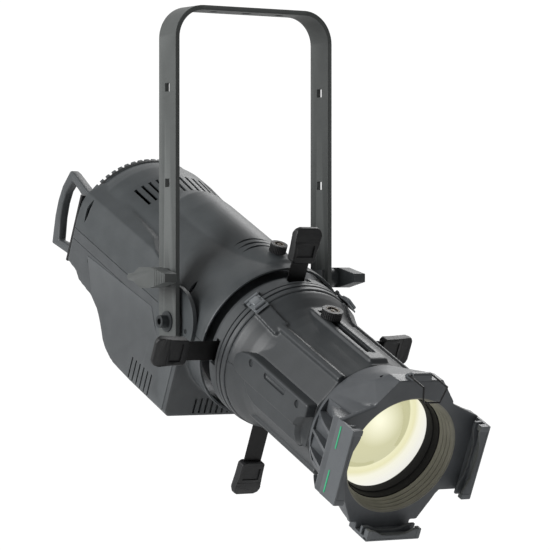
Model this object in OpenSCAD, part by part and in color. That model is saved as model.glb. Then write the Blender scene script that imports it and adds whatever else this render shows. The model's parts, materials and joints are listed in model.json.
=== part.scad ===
// Ellipsoidal spotlight hanging in its yoke, lamp house behind and lens tube in front.
// Millimetres, +Z up. The origin is the middle of the clamp hole, on top of the yoke.
// The light leaves towards +X and down; the housing tilts about a line along Y.
// Pieces of the lamp itself are drawn along x, the optical axis, with the tilt pivot
// at zero, and fixture() then hangs them in the yoke.

/* [Yoke] */
// Outside width of the yoke
yoke_w = 237; // [230:1:320]
// Width of the flat bar
bar_w = 40; // [30:1:50]
// Thickness of the flat bar
bar_t = 6; // [5:0.5:8]
// Outside radius of the two bends
bend_r = 42; // [20:1:60]
// Height of the yoke's top above the tilt pivot
pivot_drop = 398; // [395:1:520]
// Bar left below the pivot
leg_below = 28; // [22:1:40]
// Clamp hole in the middle of the top bar
clamp_d = 13; // [10:0.5:16]
// Two spare holes beside the clamp hole
spare_d = 11; // [8:0.5:13]
// Distance from the clamp hole to each spare hole
spare_gap = 50; // [35:1:60]
// Side of the square holes in the legs
leg_hole = 10.5; // [6:0.5:14]
// Depth of the upper and lower square holes below the yoke's top
leg_hole_drop = [104, 224];

/* [Tilt pivot and locks] */
// Pitch of the light below the horizon, as built
tilt_deg = 24.8; // [0:0.1:40]
// Diameter of the pivot bolt's shoulder
pivot_d = 12; // [8:0.5:14]
// Radius of the tilt plates on the housing's sides
plate_r = 45.5; // [40:0.5:50]
// Height of the lock handles above the pivot
lock_up = 55; // [52:1:60]
// Diameter of the lock handle's stud
lock_d = 10; // [6:0.5:12]
// Length of the lock handle's cross bar
lock_bar = 96; // [60:1:100]

/* [Housing] */
// Half width across the flat cheeks
cheek_y = 103; // [101:0.5:106]
// Radius of the round body where the vents are
body_r = 100; // [97:0.5:101]
// Wall of the moulded shells
wall = 3; // [2:0.5:4]
// Rear end of the shells
body_back = 288; // [260:1:320]
// Front rim of the housing
body_front = 66; // [60:1:72]
// Radius of the front rim
rim_r = 104; // [103.5:0.5:106]
// Height of the seam between the two shells
seam_z = 2; // [0:0.5:6]
// Depth of the lower box below the axis
box_deep = 125; // [115:1:140]
// Front face of the lower box
box_front = 20; // [10:1:30]
// Reach of the rear handles behind the rear panel
handle_reach = 72; // [50:1:80]
// Thickness of the rear handles
handle_t = 13; // [10:0.5:16]

/* [Gate and shutters] */
// Radius of the gate housing
gate_r = 98; // [96:0.5:100]
// Radius of the aperture in the gate
aperture_r = 36; // [30:1:38]
// Travel of a shutter from open to closed
shutter_travel = 48; // [36:1:50]
// How far each shutter has been pushed in: top, near, bottom, far
shutter_in = [38, 19, 1, 7];
// Width of a shutter's neck
neck_w = 26; // [20:1:30]
// Width of a shutter's grip
grip_w = 38; // [30:1:44]
// Length of a shutter's grip
grip_l = 47; // [35:1:55]

/* [Barrel and lens tube] */
// Front end of the barrel
barrel_front = 293; // [270:1:320]
// Radius of the barrel
barrel_r = 80; // [79:0.5:84]
// Radius of the lens tube that slides in the barrel
tube_r = 76; // [72:0.5:77]
// Focus travel of the lens tube
focus_travel = 85; // [40:1:95]
// Diameter of the focus knob
knob_d = 26; // [20:1:32]
// Radius of the front lens
lens_r = 68; // [60:1:70]
// Side of the colour frame that the front holder takes
frame_side = 190.5; // [180:0.5:192]
// Slot for the colour frame, front to back
frame_slot = 9; // [7:0.5:10]
// Radius of the front opening
mouth_r = 75.5; // [72:0.5:80]

/* [Hidden] */
$fn = 96;

fit = 0.05;               // running clearance on a radius
gap = 0.5;                // clearance between pieces that slide past each other
leg_in = yoke_w / 2 - bar_t;
plate_t = 5.5;
plate_out = cheek_y + plate_t;
washer_in = plate_out + 0.3;
black = [0.06, 0.06, 0.065];
body_grey = [0.27, 0.28, 0.29];
steel = [0.55, 0.56, 0.58];

// Hangs a piece drawn about the tilt pivot in the yoke
module fixture() translate([0, 0, -pivot_drop]) rotate([0, tilt_deg, 0]) children();
// Solid cylinder along the optical axis
module disc(r, x0, x1) translate([x0, 0, 0]) rotate([0, 90, 0]) cylinder(r = r, h = x1 - x0);
// Ring along the optical axis
module ring(ro, ri, x0, x1) difference() {
  disc(ro, x0, x1);
  disc(ri, x0 - 1, x1 + 1);
}
// Body of revolution about the optical axis from [x, r] points
module turned(points) rotate([0, 90, 0]) rotate_extrude() polygon([for (p = points) [p[1], p[0]]]);
// Block centred on y, from x0 to x1 and z0 to z1
module block(x0, x1, w, z0, z1) translate([x0, -w / 2, z0]) cube([x1 - x0, w, z1 - z0]);
// Cylinder along Y
module across(r, y0, y1) translate([0, y1, 0]) rotate([90, 0, 0]) cylinder(r = r, h = y1 - y0);
// One copy on the near side, at -Y, and one on the far side
module both_sides() {
  children();
  mirror([0, 1, 0]) children();
}
// Turns a piece drawn on top of the barrel to its place: 0 top, 1 near, 2 bottom, 3 far
module quarter(i) rotate([90 * i, 0, 0]) children();

// ---------------------------------------------------------------- yoke

module yoke_leg() difference() {
  translate([0, leg_in + bar_t, 0]) rotate([90, 0, 0]) linear_extrude(bar_t) polygon([
    [-bar_w / 2, -bend_r], [bar_w / 2, -bend_r],
    [bar_w / 2, -pivot_drop - leg_below + 9], [bar_w / 2 - 9, -pivot_drop - leg_below],
    [9 - bar_w / 2, -pivot_drop - leg_below], [-bar_w / 2, -pivot_drop - leg_below + 9]]);
  for (drop = leg_hole_drop)
    translate([-leg_hole / 2, leg_in - 1, -drop - leg_hole / 2]) cube([leg_hole, bar_t + 2, leg_hole]);
  translate([0, 0, -pivot_drop]) across(pivot_d / 2 + fit, leg_in - 1, leg_in + bar_t + 1);
  translate([0, 0, -pivot_drop + lock_up]) across(lock_d / 2 + fit, leg_in - 1, leg_in + bar_t + 1);
}
module yoke_bend() translate([bar_w / 2, yoke_w / 2 - bend_r, -bend_r]) rotate([0, -90, 0])
  rotate_extrude(angle = 90) translate([bend_r - bar_t, 0]) square([bar_t, bar_w]);
module yoke() color([0.42, 0.43, 0.44]) {
  difference() {
    translate([-bar_w / 2, bend_r - yoke_w / 2, -bar_t]) cube([bar_w, yoke_w - 2 * bend_r, bar_t]);
    translate([0, 0, -bar_t - 1]) cylinder(d = clamp_d, h = bar_t + 2);
    for (side = [-1, 1])
      translate([0, side * spare_gap, -bar_t - 1]) cylinder(d = spare_d, h = bar_t + 2);
  }
  both_sides() {
    yoke_bend();
    yoke_leg();
  }
}

// ---------------------------------------------------------------- tilt pivot and locks

bolt_head_r = 8;
bolt_head_t = 10;
washer_t = 2;
bush_t = 15;
module pivot_bolts() color(steel) fixture() both_sides() difference() {
  union() {
    across(pivot_d / 2, cheek_y - bush_t, yoke_w / 2 + washer_t);
    across(bolt_head_r, yoke_w / 2 + washer_t, yoke_w / 2 + washer_t + bolt_head_t);
  }
  translate([0, yoke_w / 2 + washer_t + bolt_head_t + 1, 0]) rotate([90, 0, 0])
    cylinder(r = 4.6, h = 7, $fn = 6);
}
module washer_on_pivot(ro, y0, y1) difference() {
  across(ro, y0, y1);
  across(pivot_d / 2 + fit, y0 - 1, y1 + 1);
}
module pivot_washers() color(steel) fixture() both_sides()
  washer_on_pivot(13, yoke_w / 2, yoke_w / 2 + washer_t);
module friction_washers() color([0.1, 0.1, 0.1]) fixture() both_sides()
  washer_on_pivot(20, washer_in, leg_in);
// Each plate is sprung from the inside of its leg, and the lock stud presses it on the tilt plate
module brake_plates() color(steel) translate([0, 0, -pivot_drop]) both_sides()
  translate([-12, washer_in, 22]) cube([24, leg_in - washer_in, lock_up + 10 - 22]);

hub_r = 12;
hub_y = yoke_w / 2 + 0.4;
bar_y = hub_y + 17;
bar_depth = 16;
module lock_handle() translate([0, 0, -pivot_drop + lock_up]) difference() {
  union() {
    across(hub_r, hub_y, bar_y);
    translate([0, bar_y + bar_depth, 0]) rotate([90, 0, 0]) linear_extrude(bar_depth) polygon([
      [-lock_bar / 2, 3], [-10, 12], [10, 12], [lock_bar / 2, 5],
      [lock_bar / 2, -6], [10, -14], [-10, -14], [-lock_bar / 2, -1]]);
  }
  across(lock_d / 2, hub_y - 1, bar_y + bar_depth / 2);
}
module lock_stud() translate([0, 0, -pivot_drop + lock_up])
  across(lock_d / 2, leg_in + gap, bar_y + bar_depth / 2);
module lock_handle_far() color(black) lock_handle();
module lock_handle_near() color(black) mirror([0, 1, 0]) lock_handle();
module lock_stud_far() color(steel) lock_stud();
module lock_stud_near() color(steel) mirror([0, 1, 0]) lock_stud();

// ---------------------------------------------------------------- housing shells

// Outside of the round body, [x, r], from the rear to the front rim, drawn in by i
function body_line(i) = [
  [-body_back - past(i), body_r - 1 - i], [-262, body_r + 2.5 - i], [-200, body_r - i],
  [-142, body_r - 4 - i], [-60, body_r - 3.5 - i], [20, body_r + 1 - i],
  [body_front - 16, rim_r - i], [body_front + past(i), rim_r - i]];
// Side view of the lower shell, [x, z], drawn in by i
function belly_line(i) = [
  [-body_back - past(i), seam_z + 30], [-body_back - past(i), i - 48], [i - 250, i - 56],
  [i - 210, i - 62], [i * 0.8 - 188, i * 0.8 - 74], [i * 0.8 - 158, i * 0.8 - 107],
  [i * 0.5 - 132, i - 117], [-84, i - box_deep], [box_front - i, i - box_deep],
  [box_front - i, seam_z + 30]];
// Side view of the flat cheeks above the seam, drawn in by i
function cheek_line(i) = [
  [-body_back - past(i), seam_z - 30], [-body_back - past(i), 47 - i], [-262, 53 - i],
  [-128, 38 - i], [box_front - i, 14 - i], [box_front - i, seam_z - 30]];
// The inside, drawn in by the wall, runs out through both ends so that they are open
function past(i) = i > 0 ? 1 : 0;
module round_body(i) turned(concat([[-body_back - past(i), 0]], body_line(i), [[body_front + past(i), 0]]));
module side_cut(points, half) translate([0, half, 0]) rotate([90, 0, 0])
  linear_extrude(2 * half) polygon(points);
// The raised hood over the front of the body, under the barrel lock knob
hood_r = 50;
hood_top = 109;
module hood(i) translate([0, 0, hood_top - hood_r]) turned([
  [-152 + i, 0], [-152 + i, 22 - i], [-128, hood_r - 9 - i], [-84, hood_r - 1 - i],
  [-20, hood_r - i], [body_front - 16, hood_r - 2 - i], [body_front - 6, 30 - i], [body_front - 6, 0]]);
module bush_holes() both_sides() across(9, cheek_y - 40, cheek_y + 20);

vent_count = 11;
vent_step = 6.2;
module top_vents() for (k = [0:vent_count - 1])
  rotate([(k - (vent_count - 1) / 2) * vent_step, 0, 0])
    translate([-227, -1.7, body_r - 12]) cube([36, 3.4, 24]);
module upper_shell() color(body_grey) fixture() difference() {
  union() {
    round_body(0);
    side_cut(cheek_line(0), cheek_y);
    hood(0);
  }
  round_body(wall);
  side_cut(cheek_line(wall), cheek_y - wall);
  hood(wall);
  block(-400, 200, 300, -200, seam_z);
  top_vents();
  bush_holes();
  cylinder_at_knob(knob_stud_d / 2 + 0.4, 60, 140);
}

side_vents = 6;
module belly_vents() {
  both_sides() for (k = [0:side_vents - 1])
    translate([-78 + 10 * k, cheek_y - wall - 6, -box_deep + 4]) cube([3, wall + 12, 34]);
  for (k = [-7:7]) translate([box_front - wall - 3, k * 8.4 - 1.6, 5 - box_deep]) cube([wall + 6, 3.2, 20]);
}
module lower_shell() color(body_grey) fixture() difference() {
  union() {
    round_body(0);
    side_cut(belly_line(0), cheek_y);
  }
  round_body(wall);
  side_cut(belly_line(wall), cheek_y - wall);
  block(-400, 200, 300, seam_z, 300);
  belly_vents();
  bush_holes();
}

plate_screw_at = 30;
module plate_screws(r, y0, y1) for (turn = [0, 90, 180, 270]) rotate([0, turn, 0])
  translate([plate_screw_at, 0, 0]) across(r, y0, y1);
module tilt_plates() color(body_grey) fixture() both_sides() difference() {
  across(plate_r, cheek_y, plate_out);
  across(pivot_d / 2 + fit, cheek_y - 1, plate_out + 1);
  plate_screws(3.2, plate_out - 3, plate_out + 1);
  round_body(0);
}
module pivot_bushes() color([0.6, 0.5, 0.3]) fixture() both_sides() difference() {
  across(9, cheek_y - bush_t, cheek_y);
  across(pivot_d / 2 + fit, cheek_y - bush_t - 1, cheek_y + 1);
}
// Sunk screws that hold the tilt plates, and pan heads along the cheeks
module side_screws() color(steel) fixture() both_sides() {
  plate_screws(3, plate_out - 3, plate_out - 0.6);
  for (x = [-235, -118]) translate([x, 0, -24]) across(3, cheek_y, cheek_y + 1.2);
}

// ---------------------------------------------------------------- rear of the housing

panel_t = 4;
panel_x = -body_back - panel_t;
module rear_outline(i) {
  circle(body_r - 1 - i);
  translate([i - 48, i - cheek_y]) square([48 + 47 - 2 * i, 2 * cheek_y - 2 * i]);
}
// The panel's outline is drawn with its height along -X, then stood up across the axis
module across_axis(x0, x1) translate([x0, 0, 0]) rotate([0, 90, 0]) linear_extrude(x1 - x0)
  mirror([1, 0]) children();
display = [56, 30];
button_d = 9;
button_y = [-27, -9, 9, 27];
socket_y = [-63, 63];
module panel_holes(grow = 0) {
  translate([14, 0]) square([display[1] + 2 * grow, display[0] + 2 * grow], center = true);
  for (y = button_y) translate([-14, y]) circle(d = button_d + 2 * gap);
  for (y = socket_y) {
    translate([24, y]) square([26, 26], center = true);
    translate([-12, y]) circle(d = 24);
  }
  for (k = [-3:3]) translate([-38, k * 12]) square([12, 5], center = true);
}
module rear_panel() color(black) fixture() across_axis(panel_x, -body_back) difference() {
  rear_outline(0);
  panel_holes();
}
module display_window() color([0.05, 0.12, 0.16]) fixture()
  across_axis(panel_x + 0.8, -body_back) translate([14, 0])
    square([display[1], display[0]], center = true);
module menu_button(i) color([0.3, 0.3, 0.32]) fixture() union() {
  translate([0, button_y[i], -14]) disc(button_d / 2, panel_x - 2.5, -body_back + 3);
  translate([0, button_y[i], -14]) disc(button_d / 2 + 1.5, -body_back + gap, -body_back + 3);
}
module menu_button_1() menu_button(0);
module menu_button_2() menu_button(1);
module menu_button_3() menu_button(2);
module menu_button_4() menu_button(3);
// Square flanged mains sockets, in and out, with a round mouth
module power_sockets() color([0.1, 0.15, 0.4]) fixture() for (y = socket_y)
  translate([0, y, 24]) difference() {
    union() {
      block(panel_x, -body_back + 14, 26, -13, 13);
      block(panel_x - 2, panel_x, 31, -15.5, 15.5);
    }
    disc(9.5, panel_x - 3, panel_x + 12);
  }
// Round data sockets, in and out
module data_sockets() color(steel) fixture() for (y = socket_y)
  translate([0, y, -12]) difference() {
    union() {
      disc(12, panel_x, -body_back + 14);
      disc(14, panel_x - 2, panel_x);
    }
    disc(8.5, panel_x - 3, panel_x + 12);
  }
// Ring of cooling teeth around the rear of the body
fin_step = 6;
module fin_ring() color(body_grey) fixture() difference() {
  ring(body_r - 4, body_r - 14, panel_x - 9, panel_x);
  block(panel_x - 20, 0, 300, -200, 52);
  for (k = [-8:7]) rotate([(k + 0.5) * fin_step, 0, 0])
    translate([panel_x - 10, -2.4, body_r - 9]) cube([7, 4.8, 20]);
}
// Two loop handles that guard the rear panel
handle_y = 85;
handle_z = [-52, 57];
module rear_handles() color(black) fixture() both_sides()
  translate([0, handle_y + handle_t / 2, 0]) rotate([90, 0, 0]) linear_extrude(handle_t)
    difference() {
      polygon([[panel_x, 47], [panel_x + 0, handle_z[1] - 10], [panel_x - handle_reach + 18, handle_z[1]],
        [panel_x - handle_reach + 9, handle_z[1] - 1], [panel_x - handle_reach, 12],
        [panel_x - handle_reach, -12], [panel_x - handle_reach + 8, handle_z[0]],
        [panel_x, -44]]);
      polygon([[panel_x + 1, 34], [panel_x - handle_reach + 21, handle_z[1] - 12],
        [panel_x - handle_reach + 12, 10], [panel_x - handle_reach + 12, -10],
        [panel_x - handle_reach + 19, handle_z[0] + 12], [panel_x + 1, -32]]);
    }
// Eye for the safety cable, under the rear of the body
eye_x = -236;
eye_z = -body_r - 12;
module safety_eye() color(steel) fixture() difference() {
  union() {
    block(eye_x - 9, eye_x + 9, 6, eye_z, 4 - body_r);
    translate([eye_x, 0, eye_z]) across(9, -3, 3);
  }
  translate([eye_x, 0, eye_z]) across(5.5, -4, 4);
  round_body(0);
}

// ---------------------------------------------------------------- inside the housing

sink_x = [-250, -150];
module heat_sink() color([0.7, 0.71, 0.72]) fixture() union() {
  intersection() {
    disc(rim_r, sink_x[1] - 10, sink_x[1]);
    round_body(wall);
  }
  for (k = [-6:6]) translate([0, k * 9, 0]) block(sink_x[0], sink_x[1] - 10, 2.4, -60, 60);
}
module led_engine() color([0.8, 0.75, 0.3]) fixture() union() {
  block(sink_x[1], sink_x[1] + 3, 60, -30, 30);
  disc(20, sink_x[1] + 3, sink_x[1] + 6);
}
// Flared collimator that gathers the light towards the gate
module collimator() color([0.75, 0.76, 0.78]) fixture() difference() {
  turned([[sink_x[1] + 3, 0], [sink_x[1] + 3, 30], [sink_x[1] + 10, 33], [10, 62], [32, 62], [32, 0]]);
  turned([[sink_x[1] + 2, 0], [sink_x[1] + 2, 22], [sink_x[1] + 10, 25], [10, 59], [33, 59], [33, 0]]);
}
fan_side = 92;
fan_x = sink_x[0] - 25;
module fan_frame() color(black) fixture() difference() {
  block(fan_x, fan_x + 25, fan_side, -fan_side / 2, fan_side / 2);
  disc(fan_side / 2 - 3, fan_x - 1, fan_x + 21);
  for (turn = [0:3]) rotate([turn * 90 + 45, 0, 0])
    translate([fan_x + 20, -12, 22]) cube([6, 24, 18]);
}
module fan_rotor() color([0.15, 0.15, 0.16]) fixture() union() {
  disc(19, fan_x + 2, fan_x + 20.4);
  for (k = [0:6]) rotate([k * 360 / 7, 0, 0]) translate([fan_x + 11, 0, 17])
    rotate([0, 0, 38]) translate([-10, -1, 0]) cube([20, 2, fan_side / 2 - 3 - 17 - 1.5]);
}
module power_supply() color([0.65, 0.66, 0.67]) fixture()
  block(-82, box_front - 25, 150, wall - box_deep, -104);

// ---------------------------------------------------------------- front bearing and its lock

bearing_x = [18, 38];
neck_r = 88;
module front_bearing() color([0.5, 0.5, 0.52]) fixture() difference() {
  intersection() {
    disc(rim_r, bearing_x[0], bearing_x[1]);
    round_body(wall);
  }
  disc(neck_r + fit, bearing_x[0] - 1, bearing_x[1] + 1);
  cylinder_at_knob(knob_stud_d / 2, 60, 140);
}
lock_knob_x = 28;
knob_stud_d = 6;
knob_seat = hood_top + 0.4;
module cylinder_at_knob(r, z0, z1) translate([lock_knob_x, 0, z0]) cylinder(r = r, h = z1 - z0);
module knurled(x, z0, d) difference() {
  translate([x, 0, z0]) cylinder(d = d, h = 11);
  for (k = [0:17]) translate([x, 0, z0 - 1]) rotate([0, 0, k * 20])
    translate([d / 2 + 0.5, 0, 0]) cylinder(d = 3, h = 14, $fn = 6);
}
module barrel_lock_knob() color(black) fixture() union() {
  knurled(lock_knob_x, knob_seat, 22);
  cylinder_at_knob(knob_stud_d / 2 - fit, neck_r + 1, knob_seat);
}

// ---------------------------------------------------------------- gate and shutters

gate_x = [body_front + 5, 112];
gate_wall = 6;
gate_step_x = body_front + 13;
layer0 = gate_x[0] + 9;
layer = 3.3;
blade_t = 0.8;
window = neck_w + 8;
gate_front_x = layer0 + 3 * layer + blade_t + 1;
module gate_housing() color(body_grey) fixture() difference() {
  union() {
    ring(gate_r, gate_r - gate_wall, gate_step_x, gate_x[1]);
    ring(gate_r - gate_wall + 2, gate_r - gate_wall, gate_x[0], gate_step_x);
    ring(gate_r - gate_wall + 2, neck_r - 6, gate_x[0], gate_x[0] + 5);
    ring(neck_r, neck_r - 6, bearing_x[0] - 4, gate_x[0] + 5);
    ring(neck_r + 5, neck_r - 6, bearing_x[0] - 5, bearing_x[0] - gap);
    latch_lugs();
  }
  for (i = [0:3]) quarter(i) translate([layer0 - 1.2, -window / 2, gate_r - gate_wall - 5])
    cube([gate_front_x - layer0 + 1.2, window, gate_wall + 10]);
}
module gate_plate(x) ring(gate_r - gate_wall, aperture_r, x, x + 2);
module gate_plates() color(steel) fixture() {
  gate_plate(gate_x[0] + 5);
  gate_plate(gate_front_x);
}
module shutter_separators() color(steel) fixture() for (k = [0:2])
  ring(gate_r - gate_wall, aperture_r, layer0 + k * layer + blade_t + 1, layer0 + k * layer + blade_t + 1.5);
// A shutter drawn on top, pushed in from its open position by n
blade_w = 72;
blade_l = 44;
open_edge = 38;
grip_open = 157;
neck_in_grip = 20;
grip_t = 13;
function shutter_x(i) = layer0 + i * layer;
module shutter_blade(i) color(black) fixture() quarter(i) translate([shutter_x(i), 0, -shutter_in[i]])
  union() {
    translate([0, -blade_w / 2, open_edge]) cube([blade_t, blade_w, blade_l]);
    translate([0, -neck_w / 2, open_edge + blade_l])
      cube([blade_t, neck_w, grip_open + neck_in_grip - open_edge - blade_l]);
  }
module shutter_grip(i) color(black) fixture() quarter(i)
  translate([shutter_x(i) + blade_t / 2, 0, grip_open - shutter_in[i]]) difference() {
    rotate([0, -90, 0]) translate([0, 0, -grip_t / 2]) linear_extrude(grip_t) polygon([
      [0, 6 - grip_w / 2], [4, 2 - grip_w / 2], [grip_l * 0.6, 1 - grip_w / 2], [grip_l - 8, -grip_w / 2],
      [grip_l, 4 - grip_w / 2], [grip_l, grip_w / 2 - 4], [grip_l - 8, grip_w / 2],
      [grip_l * 0.6, grip_w / 2 - 1], [4, grip_w / 2 - 2], [0, grip_w / 2 - 6]]);
    translate([-blade_t / 2, -neck_w / 2, -1]) cube([blade_t, neck_w, neck_in_grip + 1]);
    for (k = [0:4]) for (face = [-1, 1])
      translate([face * grip_t / 2 - 0.8, -grip_w / 2 - 1, 20 + 5 * k]) cube([1.6, grip_w + 2, 2]);
  }
module shutter_blade_top() shutter_blade(0);
module shutter_blade_near() shutter_blade(1);
module shutter_blade_bottom() shutter_blade(2);
module shutter_blade_far() shutter_blade(3);
module shutter_grip_top() shutter_grip(0);
module shutter_grip_near() shutter_grip(1);
module shutter_grip_bottom() shutter_grip(2);
module shutter_grip_far() shutter_grip(3);

// ---------------------------------------------------------------- barrel

cone_end = 150;
barrel_bore = tube_r + gap;
focus_x = 170;
focus_stud_d = 6;
slot_w = focus_stud_d + 1.6;
slot_x = [focus_x - 17, focus_x + focus_travel + 5];
rail_r = 84;
cover_y = 92;
cover_x = [gate_x[1] + 12, barrel_front - 3];
module barrel_half(up) color(body_grey) fixture() difference() {
  union() {
    turned([[gate_x[1], 0], [gate_x[1], gate_r - 3], [gate_x[1] + 8, gate_r - 4],
      [cone_end, barrel_r + 2], [barrel_front, barrel_r], [barrel_front, 0]]);
    block(slot_x[0] - 17, barrel_front - 8, 27, 30, rail_r);
    for (turn = [-43, 43, 137, -137]) rotate([turn, 0, 0])
      block(cone_end + 3, barrel_front - 3, 8, 30, barrel_r + 3);
  }
  turned([[gate_x[1] - 1, 0], [gate_x[1] - 1, gate_r - 8], [cone_end, barrel_bore],
    [barrel_front + 1, barrel_bore], [barrel_front + 1, 0]]);
  translate([0, 0, up ? -200 : 0]) block(0, 400, 400, 0, 200);
  block(slot_x[0], slot_x[1], slot_w, 0, 120);
  both_sides() cover_blank();
}
module barrel_upper() barrel_half(true);
module barrel_lower() barrel_half(false);
// Side covers over the joint of the two halves, with two screw wells and a slot
well_x = [158, 268];
cover_in = barrel_bore + 1.5;
module cover_blank() translate([0, -cover_y, 0]) rotate([-90, 0, 0])
  linear_extrude(cover_y - cover_in) polygon([
    [cover_x[0], -6], [cover_x[0] + 10, -20], [cover_x[0] + 40, -28], [cover_x[1], -28],
    [cover_x[1], 8], [cover_x[0] + 60, 28], [cover_x[0] + 14, 20], [cover_x[0], 8]]);
well_z = 19;
well_deep = 4;
module barrel_cover() difference() {
  cover_blank();
  for (x = well_x) translate([x, 0, well_z]) across(5, -cover_y - 1, well_deep - cover_y);
  translate([190, -cover_y - 1, well_z - 4]) cube([50, 4, 8]);
}
module barrel_cover_near() color(body_grey) fixture() barrel_cover();
module barrel_cover_far() color(body_grey) fixture() mirror([0, 1, 0]) barrel_cover();
module cover_screws() color(steel) fixture() both_sides() for (x = well_x)
  translate([x, 0, well_z]) across(4, well_deep - cover_y - 2.5, well_deep - cover_y);
// Catches that hold the barrel to the gate housing: a strap that turns on a pin between two lugs
latch_w = 20;
latch_x = gate_x[1] - 20;
latch_pin_d = 2.4;
latch_eye_r = 2.2;
latch_z = gate_r + gap + latch_eye_r;
lug_w = 2.5;
lug_gap = 0.4;
pin_end = latch_w / 2 + lug_gap + lug_w;
module barrel_latch() rotate([latch_turn, 0, 0]) difference() {
  union() {
    intersection() {
      ring(gate_r + 5, gate_r + gap, latch_x, gate_x[1] + 8);
      block(0, 200, latch_w, 0, 200);
    }
    translate([latch_x, 0, latch_z]) across(latch_eye_r, -latch_w / 2, latch_w / 2);
    block(gate_x[1] - 6, gate_x[1] + 2, 12, gate_r + 3, gate_r + 9);
  }
  translate([latch_x, 0, latch_z]) across(latch_pin_d / 2 + fit, -latch_w, latch_w);
}
module latch_lugs() for (turn = [latch_turn, -latch_turn]) rotate([turn, 0, 0]) difference() {
  for (side = [-1, 1]) translate([0, side * (pin_end - lug_w / 2), 0])
    block(latch_x - 2.5, latch_x + 2.5, lug_w, gate_r - 3, latch_z + 2.5);
  translate([latch_x, 0, latch_z]) across(latch_pin_d / 2, -latch_w, latch_w);
}
module latch_pins() color(steel) fixture() for (turn = [latch_turn, -latch_turn]) rotate([turn, 0, 0])
  translate([latch_x, 0, latch_z]) across(latch_pin_d / 2, -pin_end, pin_end);
module latch_near() color([0.45, 0.46, 0.47]) fixture() barrel_latch();
module latch_far() color([0.45, 0.46, 0.47]) fixture() mirror([0, 1, 0]) barrel_latch();
latch_turn = 42;

// ---------------------------------------------------------------- lens tube

lens_x = 312;
holder_back = barrel_front + 0.6;
lens_edge = 10;
cell_front = lens_x + lens_edge + 4;
plate_x = 364;
plate_face = plate_x + 7;
holder_front = plate_face + 2 * frame_slot + 8;
half = frame_side / 2 + 4.75;
groove = frame_side / 2 + 0.4;
lip = groove - 9.5;
module lens_tube() color(black) fixture() difference() {
  ring(tube_r, tube_r - 3, focus_x - 15, cell_front);
  translate([focus_x, 0, 60]) cylinder(d = focus_stud_d, h = 30);
}
module focus_knob() color(black) fixture() union() {
  knurled(focus_x, rail_r + 0.4, knob_d);
  translate([focus_x, 0, tube_r - 3]) cylinder(d = focus_stud_d - 2 * fit, h = rail_r + 0.4 - tube_r + 3);
}
// Section of a lens about x: flat at the back, domed by radius r to its crown
module dome(crown, r, x0, edge) rotate([0, 90, 0]) rotate_extrude() intersection() {
  translate([0, crown - r]) circle(r = r, $fn = 720);
  translate([0, x0]) square([edge, crown - x0]);
}
module rear_lens() color([0.8, 0.85, 0.9, 0.4]) fixture() dome(242, 210, 218, tube_r - 3);
module front_lens() color([0.95, 0.93, 0.8, 0.4]) fixture() dome(lens_x + 26, 150, lens_x, lens_r);
// Cell that holds the front lens in the end of the tube
module lens_cell() color(black) fixture() difference() {
  disc(tube_r - 3, lens_x - 10, cell_front);
  disc(lens_r - 6, lens_x - 11, lens_x + 1);
  disc(lens_r, lens_x, cell_front + 1);
}
module gel_holder() color(body_grey) fixture() union() {
  holder_body();
  clip_lugs();
}
module holder_body() difference() {
  union() {
    turned([[holder_back, 0], [holder_back, barrel_r + 2], [plate_x - 22, 91],
      [plate_face, 91], [plate_face, 0]]);
    across_axis(plate_x, plate_face) polygon([
      [50, -half], [66, -58], [half, -32], [half, 32], [66, 58], [50, half],
      [-50, half], [-47, 68], [-67, 49], [-87, 49], [-87, -49], [-67, -49], [-47, -68], [-50, -half]]);
    both_sides() channel(98);
    rotate([90, 0, 0]) channel(78);
  }
  disc(tube_r, holder_back - 1, cell_front);
  disc(tube_r, cell_front - 1, holder_front + 1);
}
// A side channel with two slots for colour frames, drawn on the near side, l long
module channel(l) translate([plate_x, -half, -l / 2]) difference() {
  cube([holder_front - plate_x, half - lip, l]);
  slots(l);
}
module slots(l) for (k = [0, 1])
  translate([plate_face - plate_x + k * (frame_slot + 4), half - groove, -1]) cube([frame_slot, 20, l + 2]);
module mouth_baffle() color([0.42, 0.4, 0.35]) fixture() difference() {
  disc(tube_r, cell_front, plate_face);
  turned([[cell_front - 1, 0], [cell_front - 1, 64], [plate_face + 1, mouth_r - 0.3], [plate_face + 1, 0]]);
}
// Colour mark on the near side, which tells the beam angles of tubes apart
module label_strip() color([0.18, 0.55, 0.4]) fixture() for (z = [-42, 13])
  translate([plate_x + 10, -half - 0.3, z]) cube([2.4, 0.3, 30]);
clip_d = 2;
clip_joint_d = 2.4;
module wire(a, b) {
  d = b - a;
  l = norm(d);
  translate(a) rotate([0, acos(d[2] / l), atan2(d[1], d[0])]) cylinder(d = clip_d, h = l);
}
// Sprung wire that folds over the open top of the slots
clip_y = 17;
clip_z = 104;
clip_end = [holder_front + 1.5, 12, 84];
module gel_clip() color(steel) fixture() union() {
  for (side = [-1, 1]) {
    wire([plate_x + 3, side * clip_y, clip_z], [holder_front + 1.5, side * clip_y, clip_z]);
    wire([holder_front + 1.5, side * clip_y, clip_z], [clip_end[0], side * clip_end[1], clip_end[2]]);
    for (end = [[holder_front + 1.5, side * clip_y, clip_z], [clip_end[0], side * clip_end[1], clip_end[2]]])
      translate(end) sphere(d = clip_joint_d);
  }
  wire([clip_end[0], -clip_end[1], clip_end[2]], [clip_end[0], clip_end[1], clip_end[2]]);
  translate([plate_x + 3, 0, clip_z]) across(clip_joint_d / 2, -clip_y - 2, clip_y + 2);
}
// Two lugs on top of the holder that the wire turns in
module clip_lugs() for (side = [-1, 1]) translate([0, side * 11, 0]) difference() {
  block(plate_x, plate_face, 6, 88, clip_z + 4);
  translate([plate_x + 3, 0, clip_z]) across(clip_joint_d / 2 + fit, -10, 10);
}

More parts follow.
